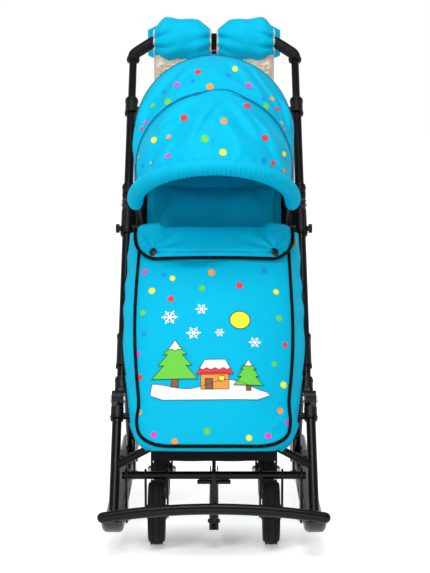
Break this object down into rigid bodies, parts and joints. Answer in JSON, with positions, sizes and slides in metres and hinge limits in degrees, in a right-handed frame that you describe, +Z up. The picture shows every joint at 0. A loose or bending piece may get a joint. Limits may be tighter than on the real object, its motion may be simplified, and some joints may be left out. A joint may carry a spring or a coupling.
{
  "type": "sled stroller",
  "caption": "Child's sled stroller: flat runners with swing-down wheels, folding tube frame, padded seat, leg apron, folding canopy and a telescopic push handle with hand muffs.",
  "frame": {"origin": "on the ground under the middle of the outline, with the wheels down", "axes": "+X to the right when looking at the front, +Y towards the push handle, +Z up; left names mean -X"},
  "size_m": [0.4576, 0.993, 1.0667],
  "materials": {
    "frame_black": "satin black paint on steel tube",
    "plastic_black": "matte black moulded plastic",
    "steel_bolts": "zinc-plated steel",
    "cloth_cyan": "padded woven cloth with coloured dots",
    "lining_cyan": "plain quilted lining",
    "cloth_black": "coarse black woven cloth",
    "rubber_black": "soft matte rubber",
    "wheel_black": "moulded black wheel with a ribbed tread"
  },
  "bodies": {
    "chassis": {"runner_left": "frame_black", "runner_right": "frame_black", "runner_end_caps": "plastic_black", "nose_bar": "frame_black", "front_legs": "frame_black", "fold_sockets": "plastic_black", "fold_pins": "steel_bolts", "seat_front_bar": "frame_black", "seat_rails": "frame_black", "seat_rear_bar": "frame_black", "front_posts": "frame_black", "rear_posts": "frame_black", "post_bolts": "steel_bolts", "footrest_tube": "frame_black", "foot_sling": "cloth_black", "seat_tub": "lining_cyan", "seat_pad": "lining_cyan", "apron": "cloth_cyan", "apron_flap": "cloth_cyan", "flap_snaps": "plastic_black"},
    "backrest": {"backrest_board": "plastic_black", "backrest_pad": "lining_cyan"},
    "upper_frame": {"upper_tubes": "frame_black", "fold_tongues": "plastic_black", "upper_heads": "plastic_black", "tube_sleeves": "plastic_black", "leg_lugs": "frame_black", "backrest_bow": "frame_black", "canopy_knobs": "plastic_black", "canopy_rear_hoop": "frame_black", "canopy_rear_panel": "cloth_cyan", "canopy_back_panel": "cloth_cyan", "flip_bolts": "steel_bolts"},
    "canopy_mid": {"canopy_mid_hoop": "frame_black", "canopy_front_panel": "cloth_cyan"},
    "canopy_front": {"canopy_front_hoop": "frame_black", "canopy_roll": "cloth_cyan"},
    "rear_leg_pair": {"rear_legs": "frame_black"},
    "shoe_pair": {"rear_shoes": "plastic_black"},
    "handle_lower": {"handle_feet": "plastic_black", "handle_tubes": "frame_black", "collars": "plastic_black"},
    "latch_left": {"latch_button_left": "plastic_black"},
    "latch_right": {"latch_button_right": "plastic_black"},
    "handle_upper": {"handle_bow": "frame_black", "grips": "rubber_black", "muff_left": "cloth_cyan", "muff_right": "cloth_cyan", "muff_strap": "cloth_black"},
    "front_swing": {"front_wheel_frame": "frame_black", "front_axles": "steel_bolts"},
    "rear_swing": {"rear_wheel_frame": "frame_black", "rear_axles": "steel_bolts"},
    "link": {"wheel_link": "frame_black"},
    "wheel_fl": {"wheel_front_left": "wheel_black"},
    "wheel_fr": {"wheel_front_right": "wheel_black"},
    "wheel_rl": {"wheel_rear_left": "wheel_black"},
    "wheel_rr": {"wheel_rear_right": "wheel_black"}
  },
  "joints": [
    {"name": "frame_fold", "type": "hinge", "parent": "chassis", "child": "upper_frame", "pos_m": [0, -0.24293, 0.27978], "axis": [1, 0, 0], "range_deg": [-38, 0]},
    {"name": "backrest_fold", "type": "hinge", "parent": "chassis", "child": "backrest", "pos_m": [0, 0.03445, 0.285], "axis": [1, 0, 0], "range_deg": [-61, 0]},
    {"name": "rear_leg_swing", "type": "hinge", "parent": "upper_frame", "child": "rear_leg_pair", "pos_m": [0, -0.09567, 0.40494], "axis": [1, 0, 0], "range_deg": [0, 61.2]},
    {"name": "shoe_tilt", "type": "hinge", "parent": "rear_leg_pair", "child": "shoe_pair", "pos_m": [0, 0.14845, 0.081], "axis": [1, 0, 0], "range_deg": [-23.2, 0]},
    {"name": "canopy_mid_fold", "type": "hinge", "parent": "upper_frame", "child": "canopy_mid", "pos_m": [0, 0.05908, 0.60251], "axis": [1, 0, 0], "range_deg": [-27, 0], "deforming": ["canopy_rear_panel"]},
    {"name": "canopy_front_fold", "type": "hinge", "parent": "canopy_mid", "child": "canopy_front", "pos_m": [0, 0.05908, 0.60251], "axis": [1, 0, 0], "range_deg": [-38, 0], "deforming": ["canopy_front_panel"]},
    {"name": "handle_flip", "type": "hinge", "parent": "upper_frame", "child": "handle_lower", "pos_m": [0, 0.10691, 0.65362], "axis": [1, 0, 0], "range_deg": [0, 90]},
    {"name": "handle_extend", "type": "slide", "parent": "handle_lower", "child": "handle_upper", "axis": [0, 0.6833, 0.7302], "range_m": [-0.08, 0.06]},
    {"name": "latch_press_left", "type": "slide", "parent": "handle_lower", "child": "latch_left", "axis": [-1, 0, 0], "range_m": [0, 0.003], "stiffness_N_per_m": 500, "springref_m": -0.003},
    {"name": "latch_press_right", "type": "slide", "parent": "handle_lower", "child": "latch_right", "axis": [1, 0, 0], "range_m": [0, 0.003], "stiffness_N_per_m": 500, "springref_m": -0.003},
    {"name": "wheel_lift", "type": "hinge", "parent": "chassis", "child": "front_swing", "pos_m": [0, -0.34155, 0.143], "axis": [1, 0, 0], "range_deg": [0, 75]},
    {"name": "rear_lift", "type": "hinge", "parent": "chassis", "child": "rear_swing", "pos_m": [0, 0.00745, 0.143], "axis": [1, 0, 0], "range_deg": [0, 75]},
    {"name": "link_swing", "type": "hinge", "parent": "front_swing", "child": "link", "pos_m": [0, -0.36998, 0.0555], "axis": [1, 0, 0], "range_deg": [-75, 0]},
    {"name": "spin_front_left", "type": "hinge", "parent": "front_swing", "child": "wheel_fl", "pos_m": [-0.1165, -0.34155, 0.066], "axis": [1, 0, 0], "continuous": true},
    {"name": "spin_front_right", "type": "hinge", "parent": "front_swing", "child": "wheel_fr", "pos_m": [0.1165, -0.34155, 0.066], "axis": [1, 0, 0], "continuous": true},
    {"name": "spin_rear_left", "type": "hinge", "parent": "rear_swing", "child": "wheel_rl", "pos_m": [-0.1165, 0.00745, 0.066], "axis": [1, 0, 0], "continuous": true},
    {"name": "spin_rear_right", "type": "hinge", "parent": "rear_swing", "child": "wheel_rr", "pos_m": [0.1165, 0.00745, 0.066], "axis": [1, 0, 0], "continuous": true}
  ],
  "couplings": [
    {"joint": "backrest_fold", "follows": "frame_fold", "ratio": 1.6},
    {"joint": "rear_leg_swing", "follows": "frame_fold", "ratio": -1.605},
    {"joint": "shoe_tilt", "follows": "frame_fold", "ratio": 0.605},
    {"joint": "canopy_front_fold", "follows": "canopy_mid_fold", "ratio": 1.4},
    {"joint": "rear_lift", "follows": "wheel_lift", "ratio": 1},
    {"joint": "link_swing", "follows": "wheel_lift", "ratio": -1}
  ]
}
